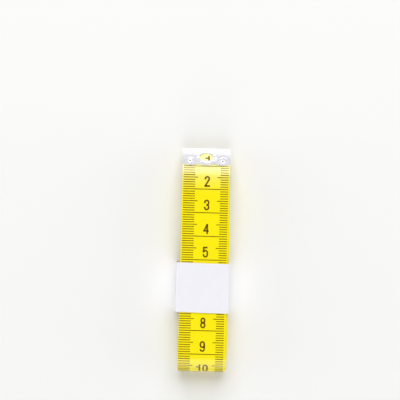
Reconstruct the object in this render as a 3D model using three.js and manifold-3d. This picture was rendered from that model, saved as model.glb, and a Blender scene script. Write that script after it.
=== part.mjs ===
// Cloth tape measure: a printed strip wound flat, with a folded steel clip riveted over each end and a
// paper band round the winding.
// Millimetres, +Z up. The strip runs along Y and its width lies along X, with the free outer end at +Y.
// The winding lies on the band's back, at Z = 0, and the origin is under the middle of the whole outline.
import * as THREE from "three";
import { mergeVertices } from "three/addons/utils/BufferGeometryUtils.js";
import Module from "manifold-3d";

// Strip
const TAPE_LENGTH = 1500; // over both end clips
const TAPE_WIDTH = 20;
const TAPE_THICKNESS = 0.32;

// Winding, counted in half turns from the outside in
const HALF_TURNS = 16;
const LAYER_GAP = 0.42; // clear space between neighbouring layers
const HALF_TURN_STEPS = 12;
const CORE_CLEARANCE = 0.25; // between the inner clip's rivets and the layers on both sides

// Outer end, draped over the upper loops
const DRAPE_ANGLE = THREE.MathUtils.degToRad(38.5);
const DRAPE_STEPS = 6;
const CLIP_TO_DRAPE = 0.4; // flat strip between the clip's lobes and the drape
const SPLIT_GAP = 0.3; // where the lifting end meets the winding

// End clips, folded from sheet steel
const CLIP_LENGTH = 9.7;
const CLIP_SHEET = 0.25;
const CLIP_SIDE_MARGIN = 0.2; // past each edge of the strip
const CLIP_FIT = 0.05; // between the strip and each plate
const CLIP_LOBES = 3;
const LOBE_DEPTH = 0.9;
const WINDOW_WIDTH = 5.8;
const WINDOW_HEIGHT = 4.3;
const WINDOW_FROM_FOLD = 5.2; // its middle

// Hollow rivets, one in each outer lobe of a clip
const RIVET_FROM_SIDE = 3.25; // axis from the clip's side
const RIVET_FROM_LOBE = 2.2; // axis above the lobe's lowest point
const RIVET_BORE = 0.7;
const RIVET_SHANK = 1.1;
const RIVET_HEAD = 2;
const RIVET_HEAD_HEIGHT = 0.22;
const RIVET_CHAMFER = 0.12;
const RIVET_FIT = 0.05; // round the shank
const RIVET_SEAT = 0.03; // under each head
const RIVET_SIDES = 16;

// Paper band, closed by a glued lap on its back
const BAND_LENGTH = 21; // along the strip
const BAND_FROM_TIP = 61.9; // its middle, measured along the strip from the outer clip's fold
const BAND_PAPER = 0.16;
const BAND_FIT = 0.1; // over the winding's front and back
const BAND_SIDE_SLACK = 1.15; // beside each edge of the strip, were it in the middle
const STRIP_OFFSET = 0.4; // how far the winding lies to the right in the band
const BAND_CORNER = 0.6; // outside radius
const BAND_LAP = 9;
const BAND_TO_SPLIT = 0.5; // from the band's upper edge to the lifting end

// Half a turn, a quarter turn, and the heading of a ribbon that runs down the front
const HALF_TURN = Math.PI;
const QUARTER_TURN = Math.PI / 2;
const DOWN_THE_FRONT = Math.PI;

// Clip section, from the strip's middle plane out
const foldRadius = TAPE_THICKNESS / 2 + CLIP_FIT + CLIP_SHEET / 2;
const clipHalf = foldRadius + CLIP_SHEET / 2;
const plateLength = CLIP_LENGTH - clipHalf;
const clipWidth = TAPE_WIDTH + 2 * CLIP_SIDE_MARGIN;
const lobeWidth = clipWidth / CLIP_LOBES;
const rivetUnderHead = clipHalf + RIVET_SEAT;
const rivetTop = rivetUnderHead + RIVET_HEAD_HEIGHT;
const rivetX = clipWidth / 2 - RIVET_FROM_SIDE;
const rivetY = RIVET_FROM_LOBE - plateLength;

// Winding, whose last half turn lays the inner end midway between its neighbours
const pitch = TAPE_THICKNESS + LAYER_GAP;
const coreRadius = rivetTop + CORE_CLEARANCE + TAPE_THICKNESS / 2;
const turnRadius = Array.from(
  { length: HALF_TURNS },
  (_, turn) => coreRadius + ((HALF_TURNS - 2 - turn) * pitch) / 2,
);
turnRadius[HALF_TURNS - 1] = coreRadius / 2;

// The drape keeps the layers' spacing over the first upper loop
const drapeRadius = turnRadius[1] + pitch;
const endRun = plateLength + CLIP_TO_DRAPE;
const bentLength = turnRadius.reduce((sum, radius) => sum + HALF_TURN * radius, 0);
const stripLength = TAPE_LENGTH - 2 * clipHalf;
const runLength =
  (stripLength - endRun - drapeRadius * DRAPE_ANGLE - bentLength) / (HALF_TURNS + 1);

// Heights of the winding inside the band
const windingBottom = 2 * BAND_PAPER + BAND_FIT;
const frontHeight = windingBottom + TAPE_THICKNESS / 2 + 2 * turnRadius[0];
const windingTop = frontHeight + TAPE_THICKNESS / 2;

// Places along Y, measured from the middle of the runs
const upperLoopY = runLength / 2;
const flatFromTip = clipHalf + endRun + drapeRadius * DRAPE_ANGLE;
const bandMiddle = upperLoopY + flatFromTip - BAND_FROM_TIP;
const splitY = bandMiddle + BAND_LENGTH / 2 + BAND_TO_SPLIT;
const outerEnd = new THREE.Vector2(
  upperLoopY + drapeRadius * Math.sin(DRAPE_ANGLE) + endRun * Math.cos(DRAPE_ANGLE),
  frontHeight - drapeRadius * (1 - Math.cos(DRAPE_ANGLE)) - endRun * Math.sin(DRAPE_ANGLE),
);
const outlineTop = outerEnd.x + clipHalf;
const outlineBottom = -runLength / 2 - turnRadius[0] - TAPE_THICKNESS / 2;

const wasm = await Module();
wasm.setup();

const cloth = { color: 0xfde904, roughness: 0.45, metalness: 0 };
const steel = { color: 0xdcdbe2, roughness: 0.28, metalness: 1 };
const paper = { color: 0xf1f0f7, roughness: 0.85, metalness: 0 };

function piece(name, geometry, look) {
  const mesh = new THREE.Mesh(geometry, new THREE.MeshStandardMaterial({ ...look, flatShading: true }));
  mesh.name = name;
  return mesh;
}

function toSolid(geometry) {
  const bare = geometry.clone();
  bare.deleteAttribute("normal");
  bare.deleteAttribute("uv");
  const merged = mergeVertices(bare);
  return new wasm.Manifold(
    new wasm.Mesh({
      numProp: 3,
      vertProperties: merged.getAttribute("position").array,
      triVerts: new Uint32Array(merged.index.array),
    }),
  );
}

function toGeometry(solid) {
  const { vertProperties, triVerts } = solid.getMesh();
  const geometry = new THREE.BufferGeometry();
  geometry.setAttribute("position", new THREE.BufferAttribute(vertProperties, 3));
  geometry.setIndex(new THREE.BufferAttribute(triVerts, 1));
  return geometry;
}

// Follows a ribbon's middle line through straight runs and left-hand bends. Each station holds a point and
// the direction to the ribbon's left there.
function walk(start, heading, legs) {
  const at = start.clone();
  const stations = [];
  let angle = heading;
  const left = () => new THREE.Vector2(-Math.sin(angle), Math.cos(angle));
  const mark = () => stations.push({ point: at.clone(), left: left() });
  mark();
  for (const { run = 0, bend = 0, turn = 0, steps = 0 } of legs) {
    if (run > 0) {
      at.add(new THREE.Vector2(Math.cos(angle), Math.sin(angle)).multiplyScalar(run));
      mark();
    }
    const centre = at.clone().addScaledVector(left(), bend);
    for (let step = 0; step < steps; step++) {
      angle += turn / steps;
      at.copy(centre).addScaledVector(left(), -bend);
      mark();
    }
  }
  return stations;
}

// A ribbon of even thickness along stations in the YZ plane, its width centred on X = 0.
function ribbon(stations, thickness, width) {
  const edge = (side) =>
    stations.map(({ point, left }) => point.clone().addScaledVector(left, (side * thickness) / 2));
  const outline = new THREE.Shape([...edge(1), ...edge(-1).reverse()]);
  const geometry = new THREE.ExtrudeGeometry(outline, { depth: width, bevelEnabled: false });
  geometry.translate(0, 0, -width / 2);
  const [alongX, alongY, alongZ] = [0, 1, 2].map((axis) => new THREE.Vector3().setComponent(axis, 1));
  return geometry.applyMatrix4(new THREE.Matrix4().makeBasis(alongY, alongZ, alongX));
}

// A plan outline in the XY plane, drawn right through the thickness of a clip.
function throughClip(outline, curveSegments) {
  const depth = 4 * clipHalf;
  const geometry = new THREE.ExtrudeGeometry(outline, { depth, curveSegments, bevelEnabled: false });
  return geometry.translate(0, 0, -depth / 2);
}

function rivetHoles() {
  return [-rivetX, rivetX].map((x) => {
    const hole = new THREE.Shape().absarc(x, rivetY, RIVET_SHANK / 2 + RIVET_FIT, 0, 2 * Math.PI);
    return throughClip(hole, RIVET_SIDES / 2);
  });
}

// The blank's outline: straight sides and a scalloped edge towards the middle of the strip.
function clipOutline() {
  const lobeRadius = (lobeWidth ** 2 / 4 + LOBE_DEPTH ** 2) / (2 * LOBE_DEPTH);
  const halfAngle = Math.asin(lobeWidth / 2 / lobeRadius);
  const pastFold = 2 * clipHalf;
  const outline = new THREE.Shape();
  outline.moveTo(-clipWidth / 2, pastFold);
  outline.lineTo(clipWidth / 2, pastFold);
  for (let lobe = 0; lobe < CLIP_LOBES; lobe++) {
    const middle = clipWidth / 2 - (lobe + 0.5) * lobeWidth;
    const from = -QUARTER_TURN + halfAngle;
    const to = -QUARTER_TURN - halfAngle;
    outline.absarc(middle, lobeRadius - plateLength, lobeRadius, from, to, true);
  }
  outline.closePath();
  return outline;
}

// A clip in its own frame: the strip ends at the origin, runs away along -Y and lies in the XY plane.
function clipGeometry() {
  const stations = walk(new THREE.Vector2(-plateLength, -foldRadius), 0, [
    { run: plateLength, bend: foldRadius, turn: HALF_TURN, steps: 8 },
    { run: plateLength },
  ]);
  const window = new THREE.Shape();
  window.absellipse(0, clipHalf - WINDOW_FROM_FOLD, WINDOW_WIDTH / 2, WINDOW_HEIGHT / 2, 0, 2 * Math.PI);
  let clip = toSolid(ribbon(stations, CLIP_SHEET, clipWidth));
  clip = clip.intersect(toSolid(throughClip(clipOutline(), 5)));
  for (const hole of [throughClip(window, 12), ...rivetHoles()]) clip = clip.subtract(toSolid(hole));
  return toGeometry(clip);
}

// A hollow rivet set from both sides, its axis along Z.
function rivetGeometry() {
  const half = [
    [RIVET_SHANK / 2, rivetUnderHead],
    [RIVET_HEAD / 2, rivetUnderHead],
    [RIVET_HEAD / 2, rivetTop - RIVET_CHAMFER],
    [RIVET_HEAD / 2 - RIVET_CHAMFER, rivetTop],
    [RIVET_BORE / 2, rivetTop],
  ];
  const lower = half.map(([radius, height]) => new THREE.Vector2(radius, -height)).reverse();
  const upper = half.map(([radius, height]) => new THREE.Vector2(radius, height));
  const profile = [...lower, ...upper, lower[0].clone()];
  return new THREE.LatheGeometry(profile, RIVET_SIDES).rotateX(QUARTER_TURN);
}

// A clip and its rivets in a group whose +Y points out of the strip's end.
function clippedEnd(end, outward, prefix) {
  const group = new THREE.Group();
  group.position.set(0, end.x, end.y);
  group.rotation.x = outward;
  group.add(piece(`${prefix}_end_clip`, clipGeometry(), steel));
  for (const [side, x] of [["left", -rivetX], ["right", rivetX]]) {
    const rivet = piece(`${prefix}_clip_rivet_${side}`, rivetGeometry(), steel);
    rivet.position.set(x, rivetY, 0);
    group.add(rivet);
  }
  group.updateMatrix();
  return group;
}

// Strip with the rivet holes of the clipped end cut through it.
function punchedStrip(stations, end) {
  let strip = toSolid(ribbon(stations, TAPE_THICKNESS, TAPE_WIDTH));
  for (const hole of rivetHoles()) strip = strip.subtract(toSolid(hole.applyMatrix4(end.matrix)));
  return toGeometry(strip);
}

// Least clear space between parts of a ribbon that are not next to each other along it.
function leastGap(stations, thickness) {
  const apart = 2;
  const spacing = 0.5;
  const points = stations.map(({ point }) => new THREE.Vector3(point.x, point.y, 0));
  const segments = [];
  let along = 0;
  for (let i = 1; i < points.length; i++) {
    const line = new THREE.Line3(points[i - 1], points[i]);
    segments.push({ line, from: along, to: along + line.distance() });
    along += line.distance();
  }
  const nearest = new THREE.Vector3();
  let least = Infinity;
  for (const { line, from, to } of segments) {
    for (let s = from; s < to; s += spacing) {
      const sample = line.at((s - from) / (to - from), new THREE.Vector3());
      for (const other of segments) {
        if (other.to > s - apart && other.from < s + apart) continue;
        other.line.closestPointToPoint(sample, true, nearest);
        least = Math.min(least, nearest.distanceTo(sample) - thickness);
      }
    }
  }
  return least;
}

// The band's section in the XZ plane. On the back the paper's outer end lies under its inner end, so the
// outside steps at one end of the lap and the inside at the other.
function bandSection() {
  const inside = TAPE_WIDTH / 2 + BAND_SIDE_SLACK;
  const outside = inside + BAND_PAPER;
  const insideTop = windingTop + BAND_FIT;
  const outsideTop = insideTop + BAND_PAPER;
  const outer = BAND_CORNER;
  const inner = BAND_CORNER - BAND_PAPER;
  const lap = BAND_LAP / 2;
  const corner = (path, x, z, radius, from) => path.absarc(x, z, radius, from, from + QUARTER_TURN);
  const section = new THREE.Shape();
  section.moveTo(outer - outside, 0);
  section.lineTo(lap, 0);
  section.lineTo(lap, BAND_PAPER);
  corner(section, outside - outer, BAND_PAPER + outer, outer, -QUARTER_TURN);
  corner(section, outside - outer, outsideTop - outer, outer, 0);
  corner(section, outer - outside, outsideTop - outer, outer, QUARTER_TURN);
  corner(section, outer - outside, outer, outer, 2 * QUARTER_TURN);
  const opening = new THREE.Path();
  opening.moveTo(inner - inside, BAND_PAPER);
  opening.lineTo(-lap, BAND_PAPER);
  opening.lineTo(-lap, 2 * BAND_PAPER);
  corner(opening, inside - inner, 2 * BAND_PAPER + inner, inner, -QUARTER_TURN);
  corner(opening, inside - inner, insideTop - inner, inner, 0);
  corner(opening, inner - inside, insideTop - inner, inner, QUARTER_TURN);
  corner(opening, inner - inside, BAND_PAPER + inner, inner, 2 * QUARTER_TURN);
  section.holes.push(opening);
  return section;
}

function bandGeometry() {
  const geometry = new THREE.ExtrudeGeometry(bandSection(), {
    depth: BAND_LENGTH,
    curveSegments: 3,
    bevelEnabled: false,
  });
  geometry.translate(0, 0, -BAND_LENGTH / 2);
  return geometry.rotateX(QUARTER_TURN);
}

// The lifting end, from inside the outer clip to the split above the band
const leadingStations = walk(outerEnd, DOWN_THE_FRONT - DRAPE_ANGLE, [
  { run: endRun, bend: drapeRadius, turn: DRAPE_ANGLE, steps: DRAPE_STEPS },
  { run: upperLoopY - splitY },
]);

// The winding, from the split to the inner end
const windingStart = new THREE.Vector2(splitY - SPLIT_GAP, frontHeight);
const windingLegs = turnRadius.map((bend, turn) => ({
  run: turn === 0 ? windingStart.x + runLength / 2 : runLength,
  bend,
  turn: HALF_TURN,
  steps: HALF_TURN_STEPS,
}));
const windingStations = walk(windingStart, DOWN_THE_FRONT, [...windingLegs, { run: runLength }]);
const innerEnd = windingStations.at(-1).point;
const innerOutward = HALF_TURNS % 2 === 0 ? HALF_TURN : 0;

const outerClip = clippedEnd(outerEnd, -DRAPE_ANGLE, "outer");
const innerClip = clippedEnd(innerEnd, innerOutward, "inner");

const band = piece("paper_band", bandGeometry(), paper);
band.position.set(-STRIP_OFFSET, bandMiddle, 0);

const winding = new THREE.Group();
winding.position.set(STRIP_OFFSET, -(outlineTop + outlineBottom) / 2, 0);
winding.add(piece("tape_coil", punchedStrip(windingStations, innerClip), cloth));
winding.add(piece("tape_leading_end", punchedStrip(leadingStations, outerClip), cloth));
winding.add(outerClip, innerClip, band);

const tapeMeasure = new THREE.Group();
tapeMeasure.add(winding);

const gap = leastGap(windingStations, TAPE_THICKNESS);
console.log(`winding: ${HALF_TURNS / 2} loops, least gap between layers ${gap.toFixed(3)} mm`);

export default tapeMeasure;
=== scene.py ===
# Cloth tape measure: its looks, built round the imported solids, in metres with +Z up.
# The strip and its printed scale are drawn flat and then wound along one path of runs and bends. The clips
# are stamped flat and folded over the strip's ends, and the paper band is cut flat and wrapped.
import math
from bisect import bisect_right

import bmesh
import bpy
from mathutils import Matrix, Vector


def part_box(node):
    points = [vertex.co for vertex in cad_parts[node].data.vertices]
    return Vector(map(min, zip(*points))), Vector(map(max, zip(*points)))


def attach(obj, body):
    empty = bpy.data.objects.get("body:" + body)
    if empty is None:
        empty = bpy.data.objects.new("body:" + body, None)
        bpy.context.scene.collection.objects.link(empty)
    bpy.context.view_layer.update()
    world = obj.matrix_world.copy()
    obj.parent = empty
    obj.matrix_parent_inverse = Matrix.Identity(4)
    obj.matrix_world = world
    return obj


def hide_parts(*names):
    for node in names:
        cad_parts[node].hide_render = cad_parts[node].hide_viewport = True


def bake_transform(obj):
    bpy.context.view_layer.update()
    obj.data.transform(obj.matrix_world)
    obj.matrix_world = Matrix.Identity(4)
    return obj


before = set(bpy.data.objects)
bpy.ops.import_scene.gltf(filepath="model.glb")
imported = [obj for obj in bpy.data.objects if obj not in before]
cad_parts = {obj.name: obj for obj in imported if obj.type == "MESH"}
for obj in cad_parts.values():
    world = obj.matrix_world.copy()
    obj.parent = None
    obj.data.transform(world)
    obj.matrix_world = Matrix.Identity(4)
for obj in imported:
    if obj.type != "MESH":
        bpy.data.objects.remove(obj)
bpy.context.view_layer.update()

MM = 0.001
QUARTER = math.pi / 2
HALF = math.pi
UP, DOWN, LEFT, RIGHT = QUARTER, -QUARTER, HALF, 0.0

# Strip and winding
STRIP_THICKNESS = 0.32 * MM
LAYER_PITCH = 0.74 * MM
HALF_TURNS = 16
DRAPE_ANGLE = math.radians(38.5)
TAPE_LENGTH = 1500 * MM  # over both clips
SEAM = 61.5 * MM  # under the band, where the lifting end's mesh meets the winding's
BEND_STEP = math.radians(7.5)
RUN_STEP = 1 * MM
LIFT_STEP = 0.5 * MM  # rows of the lifting end, which bends at the hinge
WOUND_COLUMNS, FREE_COLUMNS = 4, 40

# How far the layers stray from a perfect winding
SETTLED = 212 * MM, 245 * MM  # the strip lies straight up to the first, and strays from the second
DRIFT, DRIFT_WAVE = 1.0 * MM, 374 * MM  # to the right on every other loop, less the deeper it lies
SWAY, SWAY_WAVE = 0.12 * MM, 61 * MM
SECOND_LAYER = 250 * MM  # where the layer under the front one shows most at its right edge
GATHERED = 0.5  # share of the straying that the band takes out
GATHER_REACH = 11 * MM, 24 * MM  # from the band's middle, where this starts to fade and where it ends
RIPPLE, RIPPLE_WAVE = 0.07 * MM, 53 * MM  # out of the layer
FLUTTER, FLUTTER_WAVE = 0.05 * MM, 29 * MM

# Printed scale
INK_HEIGHT = 0.03 * MM  # over the cloth
LINE_WIDTH = 0.32 * MM
LEFT_MARGIN, RIGHT_MARGIN = 0.45 * MM, 0.4 * MM
LEFT_TICK, LEFT_HALF_TICK = 5.0 * MM, 6.2 * MM
RIGHT_TICK, RIGHT_HALF_TICK = 3.4 * MM, 4.7 * MM
PRINT_SHIFT = -0.3 * MM  # how far the print wanders across the strip
PRINT_SHIFT_SPAN = 50 * MM, 76 * MM  # along the strip
PEN = 0.68 * MM
DIGIT_WIDTH, DIGIT_HEIGHT = 2.32 * MM, 4.6 * MM
DIGIT_GAP = 0.55 * MM
DIGIT_OVER_LINE = 1.0 * MM
NUMBER_CENTRE = 0.59 * MM  # to the right of the strip's middle
THREE_DIGIT_SQUEEZE = 0.84
PEN_STEP, PEN_BEND_STEP = 0.9 * MM, math.radians(30)

# End clips and their hollow rivets
CLIP_SHEET = 0.25 * MM
CLIP_EDGE = 0.05 * MM  # rounding of the stamped edges
CLIP_EDGE_ANGLE = math.radians(50)  # the least angle that is rounded
LOBES = 3
LOBE_DEPTH = 0.9 * MM
LOBE_COLUMNS = 20
LEAF_ROWS, FOLD_ROWS = 28, 10
LEAF_CROWN = 0.12 * MM  # how far the front leaf swells between its rivets
SEAT = 2.2 * MM  # width of the slope round the flat that each rivet presses into the leaf
WINDOW = 5.8 * MM, 4.3 * MM
WINDOW_FROM_FOLD = 5.2 * MM  # its middle
WINDOW_RIM = (1.3, 0.0), (1.16, 0.05 * MM), (1.0, 0.0)  # share of the window's size, and height
ROUND_WINDOW, ROUND_CLIP_HOLE, ROUND_CLOTH_HOLE = 1.5, 1.6, 2  # share of a hole's size cleared for its rings
CUSHION = 0.22 * MM  # how far the cloth swells in the window
RIVET_BORE, RIVET_SHANK, RIVET_HEAD = 0.7 * MM, 1.1 * MM, 2.0 * MM
RIVET_UNDER_HEAD = 0.49 * MM  # from the strip's middle plane
RIVET_EDGE, RIVET_LIP = 0.08 * MM, 0.06 * MM  # roundings of the head's edge and of its bore
RIVET_CONE = math.radians(9)  # rise of the head towards its bore
RIVET_HOLE = 1.2 * MM
RIVET_STEPS = 32
RIVET_STEP, RIVET_BEND_STEP = 0.3 * MM, math.radians(30)  # along its profile

# Paper band
PAPER = 0.16 * MM
LAP = 9 * MM
LEFT_CORNER, RIGHT_CORNER = 1.2 * MM, 0.6 * MM  # bends of the paper, at its middle
BAND_COLUMNS = 20
BAND_STEP, BAND_BEND_STEP = 1 * MM, math.radians(15)
BAND_CROWN = 0.12 * MM  # how far the front swells
BAND_CURL = 0.12 * MM  # how much further its two edges lift
BAND_SKEW = math.tan(math.radians(0.8))

# Camera, straight above the front and at the photograph's scale
CAMERA_OVER = Vector((-1.9, 25.55)) * MM
CAMERA_HEIGHT = 600 * MM  # over the front layer
FIELD = 169.5 * MM  # width of the picture at the front layer
SENSOR = 36  # width, in the millimetres of a lens
CAMERA_ROLL = math.radians(1.5)

# Studio
FLOOR_HALF = 2.2
SOFT_BOX_DISTANCE = 2.0
WALL_LIGHT, CEILING_LIGHT = 0.75, 0.03  # strength at the horizon and straight up

# Meshes and textures
ROUNDING = 0.01  # of a step, so that a stretch of whole steps gets no extra row
MERGE_DISTANCE = 0.001 * MM
WAVE_PERIOD = math.pi / 10  # of a wave texture at scale 1
THREAD_SPACING = 0.8  # in the millimetres of the strip's UV map, as are the next two
CLOUD_SIZE = 9
PAINTED_GLARE_SPAN = -22.5, -9  # where the painted glare starts to pale the cloth, and where it is strongest


def facing(angle):
    return Vector((math.cos(angle), math.sin(angle)))


class Path:
    """A line of straight runs and round bends in a plane, measured by the distance along it.

    Each leg is (run, radius, turn): a straight run and then a bend, with a turn to the left positive."""

    def __init__(self, start, heading, legs):
        self.stretches, self.starts, self.length = [], [], 0.0
        point = Vector(start)
        for run, radius, turn in legs:
            bend = math.copysign(1 / radius, turn) if turn else 0.0
            for reach, curvature in ((run, 0.0), (radius * abs(turn), bend)):
                if reach == 0:
                    continue
                self.starts.append(self.length)
                self.stretches.append((point, heading, curvature))
                self.length += reach
                point = self.at(self.length)[0]
                heading += reach * curvature

    def at(self, distance):
        """The point at a distance along the path, and the unit vector to the left there."""
        index = max(bisect_right(self.starts, distance) - 1, 0)
        point, heading, curvature = self.stretches[index]
        gone = distance - self.starts[index]
        left = facing(heading + QUARTER)
        if curvature == 0:
            return point + gone * facing(heading), left
        centre = point + left / curvature
        left = facing(heading + gone * curvature + QUARTER)
        return centre - left / curvature, left

    def rows(self, longest, sharpest):
        """Distances for the rows of a mesh, at every change of stretch and no further apart than these."""
        rows = []
        ends = [*self.starts[1:], self.length]
        for start, end, (_, _, curvature) in zip(self.starts, ends, self.stretches):
            reach = end - start
            steps = max(reach / longest, reach * abs(curvature) / sharpest)
            count = max(math.ceil(steps - ROUNDING), 1)
            rows += [start + reach * step / count for step in range(count)]
        return [*rows, self.length]


def smooth_step(low, high, value):
    share = min(max((value - low) / (high - low), 0.0), 1.0)
    return share * share * (3 - 2 * share)


def wave(length, distance):
    return math.sin(2 * math.pi * distance / length)


def quads(bm, across, along):
    """Adds a flat sheet of quads, with a column at each X in across and a row at each Y in along.

    Both lists rise, so that the faces look up."""
    columns, rows = len(across) - 1, len(along) - 1
    made = bmesh.ops.create_grid(bm, x_segments=columns, y_segments=rows, size=0.5)
    for vert in made["verts"]:
        column, row = round((vert.co.x + 0.5) * columns), round((vert.co.y + 0.5) * rows)
        vert.co = (across[column], along[row], 0)
    return made["verts"]


def evenly(low, high, count):
    return [low + (high - low) * step / count for step in range(count + 1)]


def open_hole(bm, centre, size, clear, rings):
    """Opens an oval hole in a flat grid, after clearing the faces within a share of its size.

    Each ring, from the grid in to the hole's edge, is a share of the hole's size and a height."""
    def from_centre(point):
        return Vector(((point.x - centre[0]) / size[0], (point.y - centre[1]) / size[1])) * 2

    def bearing(point):
        way = from_centre(point)
        return math.atan2(way.y, way.x)

    inside = {face for face in bm.faces if from_centre(face.calc_center_median()).length < clear}
    rim = {edge for face in inside for edge in face.edges if not inside.issuperset(edge.link_faces)}
    bmesh.ops.delete(bm, geom=list(inside), context="FACES")
    for share, height in rings:
        made = bmesh.ops.extrude_edge_only(bm, edges=list(rim))["geom"]
        rim = [edge for edge in made if isinstance(edge, bmesh.types.BMEdge) and edge.is_boundary]
        around = sorted({vert for edge in rim for vert in edge.verts}, key=lambda vert: bearing(vert.co))
        for place, vert in enumerate(around):
            way = facing(2 * math.pi * place / len(around) - HALF) * share / 2
            vert.co = (centre[0] + way.x * size[0], centre[1] + way.y * size[1], height)


def piece(name, bm, slot, *materials):
    """Makes an object of a finished mesh, with its cut edges left sharp."""
    for edge in bm.edges:
        edge.smooth = not edge.is_boundary
    mesh = bpy.data.meshes.new(name)
    for face in bm.faces:
        face.smooth = True
    bm.to_mesh(mesh)
    bm.free()
    for material in materials:
        mesh.materials.append(material)
    made = bpy.data.objects.new(name, mesh)
    bpy.context.collection.objects.link(made)
    return made


def thicken(sheet, thickness, rim_material=0):
    wall = sheet.modifiers.new("thickness", "SOLIDIFY")
    wall.thickness = thickness
    wall.offset = 0
    wall.material_offset_rim = rim_material


# Materials

def linear(hex_colour):
    """A linear colour from an sRGB hex value."""
    channels = [int(hex_colour[i:i + 2], 16) / 255 for i in (1, 3, 5)]
    return (*(c / 12.92 if c <= 0.04045 else ((c + 0.055) / 1.055) ** 2.4 for c in channels), 1)


def node(tree, kind, inputs=None, **settings):
    """Adds a node with its settings. Each input is a value, or another node's output to link.

    A colour Mix has its factor at input 0, its colours at 6 and 7, and its result at output 2."""
    made = tree.nodes.new("ShaderNode" + kind)
    for name, value in settings.items():
        setattr(made, name, value)
    for socket, value in (inputs or {}).items():
        if isinstance(value, bpy.types.NodeSocket):
            tree.links.new(value, made.inputs[socket])
        else:
            made.inputs[socket].default_value = value
    return made


def new_material(name):
    material = bpy.data.materials.new(name)
    material.use_nodes = True
    tree = material.node_tree
    return material, tree, tree.nodes["Principled BSDF"]


def per_mm(size):
    """Noise scale, in metres, for features of this size in millimetres."""
    return 1 / (size * MM)


def vinyl_coated_glass_cloth():
    # Glass cloth dipped in yellow vinyl: an even, saturated colour under a glossy skin in which the plain
    # weave still shows faintly, with a painted glare that pales the cloth towards its outer end. The threads,
    # 0.4 mm apart, are drawn 0.8 mm apart to show at all.
    material, tree, shader = new_material("vinyl_coated_glass_cloth")
    thread_wave = WAVE_PERIOD / THREAD_SPACING
    flat = node(tree, "UVMap", uv_map="flat").outputs["UV"]
    warp = node(tree, "TexWave", {"Vector": flat, "Scale": thread_wave}, bands_direction="X")
    weft = node(tree, "TexWave", {"Vector": flat, "Scale": thread_wave}, bands_direction="Y")
    weave = node(tree, "Math", {0: warp.outputs["Fac"], 1: weft.outputs["Fac"]}, operation="MULTIPLY")
    cloud = node(tree, "TexNoise", {"Vector": flat, "Scale": 1 / CLOUD_SIZE, "Detail": 3})
    tint = node(
        tree,
        "Mix",
        {0: cloud.outputs["Fac"], 6: linear("#FCE900"), 7: linear("#FFF000")},
        data_type="RGBA",
    )
    # Painted glare: the cloth grows paler towards its outer end, and is palest from 9 mm to the end.
    down_strip = node(tree, "SeparateXYZ", {0: flat}).outputs["Y"]
    near_end = node(
        tree,
        "MapRange",
        {"Value": down_strip, "From Min": PAINTED_GLARE_SPAN[0], "From Max": PAINTED_GLARE_SPAN[1]},
    )
    fade = node(tree, "Math", {0: near_end.outputs[0], 1: 2}, operation="POWER")
    painted_glare = node(
        tree,
        "Mix",
        {0: fade.outputs[0], 6: tint.outputs[2], 7: linear("#FDF7A6")},
        data_type="RGBA",
    )
    gloss = node(
        tree,
        "MapRange",
        {"Value": weave.outputs[0], "To Min": 0.21, "To Max": 0.23},
    )
    relief = node(
        tree,
        "Bump",
        {"Height": weave.outputs[0], "Strength": 0.03, "Distance": 0.03 * MM},
    )
    tree.links.new(painted_glare.outputs[2], shader.inputs["Base Color"])
    tree.links.new(gloss.outputs[0], shader.inputs["Roughness"])
    tree.links.new(relief.outputs[0], shader.inputs["Normal"])
    return material


def cut_cloth_edge():
    # The slit edge of the cloth: matt, and paler where the glass threads end in the vinyl. The thread ends,
    # 0.4 mm apart, are drawn 0.6 mm apart to show at all.
    material, tree, shader = new_material("cut_cloth_edge")
    place = node(tree, "TexCoord").outputs["Object"]
    threads = node(tree, "TexNoise", {"Vector": place, "Scale": per_mm(0.6), "Detail": 2})
    tint = node(
        tree,
        "Mix",
        {0: threads.outputs["Fac"], 6: linear("#E8CF1C"), 7: linear("#F9EE86")},
        data_type="RGBA",
    )
    tree.links.new(tint.outputs[2], shader.inputs["Base Color"])
    shader.inputs["Roughness"].default_value = 0.75
    return material


def screen_ink():
    # Brown screen ink: thin, as glossy as the vinyl, and lighter in specks where it lies on the threads.
    material, tree, shader = new_material("screen_ink")
    place = node(tree, "TexCoord").outputs["Object"]
    specks = node(tree, "TexNoise", {"Vector": place, "Scale": per_mm(0.5), "Detail": 2})
    cover = node(tree, "MapRange", {"Value": specks.outputs["Fac"], "From Min": 0.5, "From Max": 0.8})
    tint = node(
        tree,
        "Mix",
        {0: cover.outputs[0], 6: linear("#6F4C00"), 7: linear("#8E6200")},
        data_type="RGBA",
    )
    tree.links.new(tint.outputs[2], shader.inputs["Base Color"])
    shader.inputs["Roughness"].default_value = 0.2
    return material


def nickel_plated_steel():
    # Bright nickel on thin rolled sheet: a near-white metal whose mirror is dulled by handling and by the
    # shallow dents that stamping and riveting leave, about 3 mm apart.
    material, tree, shader = new_material("nickel_plated_steel")
    place = node(tree, "TexCoord").outputs["Object"]
    dents = node(tree, "TexNoise", {"Vector": place, "Scale": per_mm(3), "Detail": 0})
    film = node(tree, "TexNoise", {"Vector": place, "Scale": per_mm(1.2), "Detail": 2})
    gloss = node(tree, "MapRange", {"Value": film.outputs["Fac"], "To Min": 0.2, "To Max": 0.21})
    relief = node(tree, "Bump", {"Height": dents.outputs["Fac"], "Strength": 0.05, "Distance": 0.15 * MM})
    shader.inputs["Base Color"].default_value = linear("#F5F4FB")
    shader.inputs["Metallic"].default_value = 1
    tree.links.new(gloss.outputs[0], shader.inputs["Roughness"])
    tree.links.new(relief.outputs[0], shader.inputs["Normal"])
    return material


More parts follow.
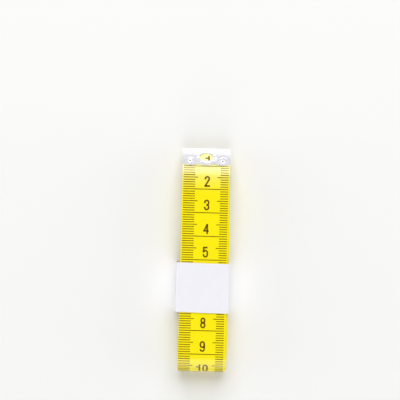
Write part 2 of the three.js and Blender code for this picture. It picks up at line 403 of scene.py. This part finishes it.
def tumbled_nickel():
    # The rivets' nickel, left satin by the fine pits of the tumbling barrel, so that a head reads as an even
    # pale disc. The pits, about 0.05 mm wide, are drawn 0.2 mm wide to show at all.
    material, tree, shader = new_material("tumbled_nickel")
    place = node(tree, "TexCoord").outputs["Object"]
    pits = node(tree, "TexNoise", {"Vector": place, "Scale": per_mm(0.2), "Detail": 2})
    gloss = node(tree, "MapRange", {"Value": pits.outputs["Fac"], "To Min": 0.28, "To Max": 0.36})
    relief = node(tree, "Bump", {"Height": pits.outputs["Fac"], "Strength": 0.1, "Distance": 0.01 * MM})
    shader.inputs["Base Color"].default_value = linear("#F5F4FB")
    shader.inputs["Metallic"].default_value = 1
    tree.links.new(gloss.outputs[0], shader.inputs["Roughness"])
    tree.links.new(relief.outputs[0], shader.inputs["Normal"])
    return material


def dull_steel_bore():
    # The inside of a rivet: dull steel in patches, its colour painted dark as shade in the hole, so that it
    # reads as a hole.
    material, tree, shader = new_material("dull_steel_bore")
    place = node(tree, "TexCoord").outputs["Object"]
    patches = node(tree, "TexNoise", {"Vector": place, "Scale": per_mm(0.3), "Detail": 2})
    tint = node(
        tree,
        "Mix",
        {0: patches.outputs["Fac"], 6: linear("#4C4A50"), 7: linear("#605E64")},
        data_type="RGBA",
    )
    gloss = node(tree, "MapRange", {"Value": patches.outputs["Fac"], "To Min": 0.5, "To Max": 0.7})
    tree.links.new(tint.outputs[2], shader.inputs["Base Color"])
    shader.inputs["Metallic"].default_value = 1
    tree.links.new(gloss.outputs[0], shader.inputs["Roughness"])
    return material


def uncoated_paper():
    # Uncoated white paper: matt, faintly blue from its whitener, with a soft mottle of fibres. The fibres,
    # about 0.05 mm wide, are drawn 0.4 mm wide to show at all.
    material, tree, shader = new_material("uncoated_paper")
    place = node(tree, "TexCoord").outputs["Object"]
    fibres = node(tree, "TexNoise", {"Vector": place, "Scale": per_mm(0.4), "Detail": 5, "Roughness": 0.65})
    mottle = node(tree, "TexNoise", {"Vector": place, "Scale": per_mm(5), "Detail": 3})
    tint = node(
        tree,
        "Mix",
        {0: mottle.outputs["Fac"], 6: linear("#EBEAF1"), 7: linear("#F1F0F7")},
        data_type="RGBA",
    )
    relief = node(tree, "Bump", {"Height": fibres.outputs["Fac"], "Strength": 0.25, "Distance": 0.05 * MM})
    tree.links.new(tint.outputs[2], shader.inputs["Base Color"])
    shader.inputs["Roughness"].default_value = 0.9
    tree.links.new(relief.outputs[0], shader.inputs["Normal"])
    return material


cloth = vinyl_coated_glass_cloth()
cloth_edge = cut_cloth_edge()
ink = screen_ink()
nickel = nickel_plated_steel()
satin_nickel = tumbled_nickel()
bore = dull_steel_bore()
paper = uncoated_paper()

# The winding's path, from the outer end in, in the plane of Y and Z
coil_low, coil_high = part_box("tape_coil")
_, free_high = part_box("tape_leading_end")
clip_low, clip_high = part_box("inner_end_clip")
strip_width = coil_high.x - coil_low.x
strip_middle = (coil_low.x + coil_high.x) / 2
band_low, band_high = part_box("paper_band")
band_middle = (band_low.y + band_high.y) / 2
half_strip = STRIP_THICKNESS / 2
clip_half = (clip_high.z - clip_low.z) / 2
clip_length = clip_high.y - clip_low.y

outer_radius = (coil_high.z - coil_low.z - STRIP_THICKNESS) / 2
turn_radius = [outer_radius - turn * LAYER_PITCH / 2 for turn in range(HALF_TURNS)]
turn_radius[-1] = turn_radius[-2] / 2  # lays the inner end midway between its neighbours
lower_loop = coil_low.y + half_strip + turn_radius[0]
upper_loop = coil_high.y - half_strip - turn_radius[1]
run_length = upper_loop - lower_loop
front_height = coil_high.z - half_strip

drape_radius = turn_radius[1] + LAYER_PITCH
drape_reach = upper_loop + (drape_radius + half_strip) * math.sin(DRAPE_ANGLE)
end_run = (free_high.y - drape_reach) / math.cos(DRAPE_ANGLE)
outer_end = (
    Vector((upper_loop, front_height - drape_radius))
    + drape_radius * facing(UP - DRAPE_ANGLE)
    + end_run * facing(-DRAPE_ANGLE)
)
winding = Path(
    outer_end,
    LEFT - DRAPE_ANGLE,
    [
        (end_run, drape_radius, DRAPE_ANGLE),
        *((run_length, radius, HALF) for radius in turn_radius),
        (run_length, 0, 0),
    ],
)
inner_end = winding.at(winding.length)[0]

# The clips, in a frame where the strip ends at Y = 0 and runs down -Y
clip_width = clip_high.x - clip_low.x
lobe_width = clip_width / LOBES
leaf = clip_length - clip_half
fold_radius = clip_half - CLIP_SHEET / 2
fold = HALF * fold_radius
window_y = clip_half - WINDOW_FROM_FOLD
rivet_low, rivet_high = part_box("inner_clip_rivet_right")
rivet_x = (rivet_low.x + rivet_high.x) / 2 - strip_middle
rivet_y = inner_end.x - (rivet_low.y + rivet_high.y) / 2
rivet_places = [Vector((side * rivet_x, rivet_y)) for side in (-1, 1)]


def wind(bm):
    """Winds a flat mesh, in which the strip runs down -Y from the scale's zero and its front is +Z."""
    for vert in bm.verts:
        along = -vert.co.y
        point, left = winding.at(along - clip_half)
        stray = smooth_step(*SETTLED, along)
        held = GATHERED * (1 - smooth_step(*GATHER_REACH, abs(point.x - band_middle)))
        swing = (1 + wave(DRIFT_WAVE, along - SECOND_LAYER + DRIFT_WAVE / 4)) / 2
        drift = DRIFT * swing * (SECOND_LAYER / along) ** 2 + SWAY * wave(SWAY_WAVE, along)
        ripple = RIPPLE * wave(RIPPLE_WAVE, along) + FLUTTER * wave(FLUTTER_WAVE, along)
        point = point - left * (vert.co.z + stray * ripple)
        vert.co = (strip_middle + vert.co.x + stray * (1 - held) * drift, *point)


def cushion(flat):
    """How far the cloth swells in the outer clip's window, at this place on the flat strip."""
    away = Vector((2 * flat.x / WINDOW[0], 2 * (flat.y + WINDOW_FROM_FOLD) / WINDOW[1])).length
    return CUSHION * max(1 - away ** 2, 0)


def strip(name, rows, columns, holes=()):
    """A stretch of the strip, whose UV map keeps its flat place in millimetres for the weave."""
    bm = bmesh.new()
    quads(bm, evenly(-strip_width / 2, strip_width / 2, columns), [-row for row in reversed(rows)])
    for hole in holes:
        open_hole(bm, hole, (RIVET_HOLE, RIVET_HOLE), ROUND_CLOTH_HOLE, [(1, 0)])
    flat = bm.loops.layers.uv.new("flat")
    for face in bm.faces:
        for loop in face.loops:
            loop[flat].uv = loop.vert.co.xy / MM
    for vert in bm.verts:
        vert.co.z = cushion(vert.co)
    wind(bm)
    made = piece(name, bm, "printed_cloth", cloth, cloth_edge)
    thicken(made, STRIP_THICKNESS, rim_material=1)
    return made


# Digits, as strokes of a pen. Each is a start, a heading and the legs of its path, with the pen's middle at
# X = 0 on the left side of a digit and at Y = 0 on its foot.
wide, tall = DIGIT_WIDTH - PEN, DIGIT_HEIGHT - PEN
bowl = wide / 2
waist = 0.51 * tall
stem = 0.8 * wide
curl = 0.09 * tall  # run at the end of an open bowl
slant = 2 * math.atan2(bowl, tall - bowl)  # of the 2's neck, which touches its bowl and the foot's corner


def line(start, end):
    """A straight stroke between two points."""
    way = Vector(end) - Vector(start)
    return start, math.atan2(way.y, way.x), [(way.length, 0, 0)]


def ring(foot, top, share=1):
    """A closed oval between two heights, as wide as this share of a digit."""
    radius = share * bowl
    side = top - foot - 2 * radius
    return (bowl - radius, foot + radius), UP, [(side, radius, -HALF), (side, radius, -HALF)]


hook = [(0, bowl, HALF), (tall - wide, bowl, HALF), (0.17 * tall, bowl, HALF)]  # of a 6 and a 9
DIGITS = {
    "0": [ring(0, tall)],
    "1": [
        line((stem, -PEN / 2), (stem, tall + PEN / 2)),
        (
            (-0.1 * wide, 0.74 * tall),
            RIGHT,
            [(0.5 * wide, 0.4 * wide, QUARTER), (0.26 * tall - 0.4 * wide, 0, 0)],
        ),
    ],
    "2": [
        ((0, tall - bowl - curl), UP, [(curl, bowl, -HALF - slant), (tall - bowl, 0, 0)]),
        line((-PEN / 2, 0), (wide + PEN / 2, 0)),
    ],
    "3": [
        (
            (0, tall - bowl - curl),
            UP,
            [(curl, bowl, -HALF), (tall - waist - wide, bowl, -QUARTER), (0.1 * wide, 0, 0)],
        ),
        (
            (0.4 * wide, waist),
            RIGHT,
            [(0.1 * wide, bowl, -QUARTER), (waist - wide, bowl, -HALF), (curl, 0, 0)],
        ),
    ],
    "4": [
        line((stem, -PEN / 2), (stem, tall)),
        line((stem, 0.96 * tall), (0, 0.25 * tall)),
        line((-PEN / 2, 0.25 * tall), (wide + PEN / 2, 0.25 * tall)),
    ],
    "5": [
        line((0.05 * wide, tall), (wide, tall)),
        line((0.05 * wide, tall + PEN / 2), (0, 0.46 * tall)),
        ((0, 0.46 * tall), UP, [(0, bowl, -HALF), (0.46 * tall - bowl, bowl, -HALF), (curl, 0, 0)]),
    ],
    "6": [((wide, tall - bowl), UP, hook)],
    "7": [line((-PEN / 2, tall), (wide + PEN / 2, tall)), line((wide, tall), (0.3 * wide, -PEN / 2))],
    "8": [ring(0, waist), ring(waist, tall, 0.86)],
    "9": [((0, bowl), DOWN, hook)],
}


def pen_stroke(bm, stroke, corner, squeeze):
    """Draws a stroke with its digit's corner at this place, narrowed by squeeze."""
    path = Path(*stroke)
    drawn = quads(bm, [-PEN / 2, PEN / 2], path.rows(PEN_STEP, PEN_BEND_STEP))
    for vert in drawn:
        point, left = path.at(vert.co.y)
        point = point - left * vert.co.x
        vert.co = (corner.x + point.x * squeeze, corner.y + point.y, 0)


def print_number(bm, number, line_at):
    """A centimetre's number, standing over the line at its end."""
    digits = str(number)
    squeeze = THREE_DIGIT_SQUEEZE if len(digits) == 3 else 1
    step = (DIGIT_WIDTH + DIGIT_GAP) * squeeze
    width = step * (len(digits) - 1) + wide * squeeze
    for place, digit in enumerate(digits):
        corner = Vector((NUMBER_CENTRE - width / 2 + place * step, line_at + DIGIT_OVER_LINE + PEN / 2))
        for stroke in DIGITS[digit]:
            pen_stroke(bm, stroke, corner, squeeze)


def printed_scale():
    """The flat scale on both faces. The back counts from the other end, so it is the front turned over."""
    bm = bmesh.new()
    left, right = LEFT_MARGIN - strip_width / 2, strip_width / 2 - RIGHT_MARGIN
    for mark in range(1, round(TAPE_LENGTH / MM)):
        height = -mark * MM
        if mark % 10 == 0:
            bars = [(left, right)]
            print_number(bm, mark // 10, height)
        elif mark % 5 == 0:
            bars = [(left, left + LEFT_HALF_TICK), (right - RIGHT_HALF_TICK, right)]
        else:
            bars = [(left, left + LEFT_TICK), (right - RIGHT_TICK, right)]
        for bar in bars:
            quads(bm, bar, [height - LINE_WIDTH / 2, height + LINE_WIDTH / 2])
    bmesh.ops.remove_doubles(bm, verts=bm.verts, dist=MERGE_DISTANCE)
    bmesh.ops.translate(bm, verts=bm.verts, vec=(0, 0, half_strip + INK_HEIGHT))
    back = bmesh.ops.duplicate(bm, geom=[*bm.verts, *bm.edges, *bm.faces])
    turned = [element for element in back["geom"] if isinstance(element, bmesh.types.BMVert)]
    turn_over = Matrix.Translation((0, -TAPE_LENGTH, 0)) @ Matrix.Rotation(HALF, 4, "X")
    bmesh.ops.transform(bm, matrix=turn_over, verts=turned)
    return bm


def print_stretch(name, scale, belongs):
    """The part of the scale whose distance along the strip belongs to one stretch, wound with it."""
    bm = scale.copy()
    others = [face for face in bm.faces if not belongs(-face.calc_center_median().y)]
    bmesh.ops.delete(bm, geom=others, context="FACES")
    for vert in bm.verts:
        vert.co.x += PRINT_SHIFT * smooth_step(*PRINT_SHIFT_SPAN, -vert.co.y)
        vert.co.z += cushion(vert.co)
    wind(bm)
    return piece(name, bm, "printed_cloth", ink)


def clip_reach(x):
    """From the fold to the scalloped edge of a clip's leaf."""
    radius = (lobe_width ** 2 / 4 + LOBE_DEPTH ** 2) / (2 * LOBE_DEPTH)
    from_middle = (x + clip_width / 2) % lobe_width - lobe_width / 2
    return leaf - radius + math.sqrt(radius ** 2 - from_middle ** 2)


def folded_clip(name, place):
    """A clip stamped flat, with its fold along X from Y = 0, then folded over the end of the strip."""
    bm = bmesh.new()
    columns = evenly(-clip_width / 2, clip_width / 2, LOBES * LOBE_COLUMNS)
    front_rows, back_rows = evenly(-leaf, 0, LEAF_ROWS), evenly(fold, fold + leaf, LEAF_ROWS)
    quads(bm, columns, [*front_rows[:-1], *evenly(0, fold, FOLD_ROWS), *back_rows[1:]])
    for vert in bm.verts:
        reach = clip_reach(vert.co.x) / leaf
        if vert.co.y < 0:
            vert.co.y *= reach
        elif vert.co.y > fold:
            vert.co.y = fold + (vert.co.y - fold) * reach
    for middle, mirrored in ((0, 1), (fold, -1)):
        open_hole(bm, (0, middle + mirrored * window_y), WINDOW, ROUND_WINDOW, WINDOW_RIM)
        for rivet in rivet_places:
            hole = (rivet.x, middle + mirrored * rivet.y)
            open_hole(bm, hole, (RIVET_HOLE, RIVET_HOLE), ROUND_CLIP_HOLE, [(1, 0)])
    for vert in bm.verts:
        if vert.co.y < 0:
            off_seat = min((vert.co.xy - rivet).length for rivet in rivet_places) - RIVET_HEAD / 2
            swell = math.sin(math.pi * min(-vert.co.y / leaf, 1)) * smooth_step(0, SEAT, off_seat)
            vert.co.z += LEAF_CROWN * swell
    for vert in bm.verts:
        x, y, height = vert.co
        angle = min(max(y / fold_radius, 0), HALF)
        past = y if y < 0 else min(fold - y, 0)
        out = fold_radius + height
        vert.co = (x, past + out * math.sin(angle), out * math.cos(angle))
    bm.transform(place)
    made = piece(name, bm, "plated_steel", nickel)
    thicken(made, CLIP_SHEET)
    edges = made.modifiers.new("stamped_edges", "BEVEL")
    edges.width = CLIP_EDGE
    edges.segments = 2
    edges.limit_method = "ANGLE"
    edges.angle_limit = CLIP_EDGE_ANGLE
    return made


def hollow_rivet(name, place):
    """A hollow rivet, its axis along Z, with a head on both sides that rises to a rounded lip at the bore."""
    rise = math.sin(RIVET_CONE)
    cone = (RIVET_HEAD - RIVET_BORE) / 2 - RIVET_EDGE * (1 - rise) - RIVET_LIP * (1 + rise)
    head = Path(
        (RIVET_SHANK / 2, RIVET_UNDER_HEAD),
        RIGHT,
        [
            ((RIVET_HEAD - RIVET_SHANK) / 2 - RIVET_EDGE, RIVET_EDGE, HALF - RIVET_CONE),
            (cone / math.cos(RIVET_CONE), RIVET_LIP, QUARTER + RIVET_CONE),
        ],
    )
    upper = [head.at(row)[0] for row in head.rows(RIVET_STEP, RIVET_BEND_STEP)]
    profile = [*upper, *(Vector((radius, -height)) for radius, height in reversed(upper))]
    bm = bmesh.new()
    verts = [bm.verts.new((radius, 0, height)) for radius, height in profile]
    edges = [bm.edges.new(pair) for pair in zip(verts, [*verts[1:], verts[0]])]
    bmesh.ops.spin(
        bm,
        geom=verts + edges,
        cent=(0, 0, 0),
        axis=(0, 0, 1),
        angle=2 * math.pi,
        steps=RIVET_STEPS,
        use_merge=True,
    )
    bmesh.ops.remove_doubles(bm, verts=bm.verts, dist=MERGE_DISTANCE)
    bmesh.ops.recalc_face_normals(bm, faces=bm.faces)
    # The faces of the bore take the dull steel that is painted dark as shade in the hole.
    for face in bm.faces:
        if face.calc_center_median().xy.length < RIVET_BORE / 2:
            face.material_index = 1
    bm.transform(place)
    return piece(name, bm, "plated_steel", satin_nickel, bore)


def clipped_end(end, body, place):
    """A clip and its two rivets on one end of the strip."""
    clip = folded_clip(f"{end}_clip", place)
    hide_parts(f"{end}_end_clip")
    rivets = []
    for side, x in (("left", -rivet_x), ("right", rivet_x)):
        rivet = hollow_rivet(f"{end}_rivet_{side}", place @ Matrix.Translation((x, rivet_y, 0)))
        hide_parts(f"{end}_clip_rivet_{side}")
        rivets.append(rivet)
    for made in (clip, *rivets):
        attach(made, body)
    return [clip, *rivets]


def wrapped_band():
    """The paper band, wrapped from its inner end on the back, up the right side and round to the lap."""
    side, top = band_high.x - PAPER / 2, band_high.z - PAPER / 2
    outer_layer, inner_layer = band_low.z + PAPER / 2, band_low.z + PAPER * 3 / 2
    path = Path(
        (-LAP / 2, inner_layer),
        RIGHT,
        [
            (LAP / 2 + side - RIGHT_CORNER, RIGHT_CORNER, QUARTER),
            (top - inner_layer - 2 * RIGHT_CORNER, RIGHT_CORNER, QUARTER),
            (2 * side - RIGHT_CORNER - LEFT_CORNER, LEFT_CORNER, QUARTER),
            (top - outer_layer - 2 * LEFT_CORNER, LEFT_CORNER, QUARTER),
            (side - LEFT_CORNER + LAP / 2, 0, 0),
        ],
    )
    bm = bmesh.new()
    verts = quads(bm, evenly(-0.5, 0.5, BAND_COLUMNS), path.rows(BAND_STEP, BAND_BEND_STEP))
    length = band_high.y - band_low.y
    for vert in verts:
        across = vert.co.x
        point, left = path.at(vert.co.y)
        on_front = smooth_step(0, top, point.y) * max(1 - (point.x / side) ** 2, 0)
        point = point - left * on_front * (BAND_CROWN + BAND_CURL * abs(2 * across) ** 4)
        vert.co = (point.x, band_middle + across * length - point.x * BAND_SKEW, point.y)
    band = piece("paper_band_wrap", bm, "white_paper", paper)
    thicken(band, PAPER)
    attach(band, "band")
    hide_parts("paper_band")
    return band


# The strip in two stretches, each with its part of the scale
rows = [row + clip_half for row in winding.rows(RUN_STEP, BEND_STEP)]
free_rows = evenly(clip_half, SEAM, round((SEAM - clip_half) / LIFT_STEP))
wound = strip("tape_wound", [SEAM, *(row for row in rows if row > SEAM)], WOUND_COLUMNS)
outer_holes = [(rivet.x, rivet.y - clip_half) for rivet in rivet_places]
free_end = strip("tape_free_end", free_rows, FREE_COLUMNS, holes=outer_holes)
scale = printed_scale()
wound_print = print_stretch("scale_on_winding", scale, lambda along: along > SEAM)
free_print = print_stretch("scale_on_free_end", scale, lambda along: along < SEAM)
scale.free()

outer_place = Matrix.Translation((strip_middle, *outer_end)) @ Matrix.Rotation(-DRAPE_ANGLE, 4, "X")
inner_place = Matrix.Translation((strip_middle, *inner_end)) @ Matrix.Rotation(HALF, 4, "X")
outer_clip = clipped_end("outer", "leading_end", outer_place)
inner_clip = clipped_end("inner", "winding", inner_place)
band = wrapped_band()

for made in (wound, wound_print):
    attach(made, "winding")
for made in (free_end, free_print):
    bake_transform(made)
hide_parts("tape_coil")
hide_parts("tape_leading_end")


# Studio: a pale floor, pale walls under a dark ceiling, soft boxes on all sides and a dim card overhead

def studio_floor():
    material, _, shader = new_material("pale_floor")
    shader.inputs["Base Color"].default_value = linear("#F4F4F3")
    shader.inputs["Roughness"].default_value = 0.95
    bm = bmesh.new()
    bmesh.ops.create_grid(bm, x_segments=1, y_segments=1, size=FLOOR_HALF)
    mesh = bpy.data.meshes.new("floor")
    bm.to_mesh(mesh)
    bm.free()
    mesh.materials.append(material)
    floor = bpy.data.objects.new("floor", mesh)
    bpy.context.collection.objects.link(floor)


def studio_walls():
    """World light that falls from a pale wall at the horizon to a dark ceiling."""
    world = bpy.data.worlds.new("studio")
    bpy.context.scene.world = world
    world.use_nodes = True
    tree = world.node_tree
    background = tree.nodes["Background"]
    way = node(tree, "TexCoord").outputs["Generated"]
    height = node(tree, "SeparateXYZ", {0: way}).outputs["Z"]
    fall = node(tree, "MapRange", {"Value": height, "To Min": WALL_LIGHT, "To Max": CEILING_LIGHT})
    tree.links.new(fall.outputs[0], background.inputs["Strength"])
    background.inputs["Color"].default_value = (1, 1, 1, 1)


def soft_box(name, bearing, from_zenith, width, height, radiance):
    """A soft box turned to the origin. Its bearing is in degrees from +Y towards +X, and its width and height
    are shares of its distance."""
    width, height = width * SOFT_BOX_DISTANCE, height * SOFT_BOX_DISTANCE
    bearing, from_zenith = math.radians(bearing), math.radians(from_zenith)
    light = bpy.data.lights.new(name, "AREA")
    light.shape = "RECTANGLE"
    light.size = width
    light.size_y = height
    light.energy = radiance * math.pi * width * height
    lamp = bpy.data.objects.new(name, light)
    out, over = SOFT_BOX_DISTANCE * facing(from_zenith).yx
    lamp.location = (out * math.sin(bearing), out * math.cos(bearing), over)
    lamp.rotation_euler = (-from_zenith, 0, -bearing)
    lamp.visible_camera = False
    bpy.context.collection.objects.link(lamp)


def overhead_camera():
    lens = bpy.data.cameras.new("camera")
    lens.sensor_width = SENSOR
    lens.lens = SENSOR * CAMERA_HEIGHT / FIELD
    camera = bpy.data.objects.new("camera", lens)
    camera.location = (*CAMERA_OVER, coil_high.z + CAMERA_HEIGHT)
    camera.rotation_euler = (0, 0, CAMERA_ROLL)
    bpy.context.collection.objects.link(camera)
    bpy.context.scene.camera = camera


studio_floor()
studio_walls()
# Each soft box has its bearing, angle from the zenith, width, height and radiance.
soft_box("soft_box_over_free_end", 0, 43, 0.814, 0.857, 3.75)
soft_box("white_card_beyond_free_end", 0, 86, 0.857, 0.143, 0.9)
soft_box("soft_box_over_lower_loops", 180, 42, 0.314, 0.9, 2.6)
soft_box("low_soft_box_before_lower_loops", 180, 78, 0.357, 0.543, 2.0)
soft_box("low_soft_box_left", -90, 75, 0.714, 0.514, 1.6)
soft_box("low_soft_box_right", 90, 75, 0.714, 0.514, 1.6)
soft_box("dim_card_overhead", 0, 0, 0.6, 0.6, 0.15)
overhead_camera()
bpy.context.scene.view_settings.view_transform = "Standard"
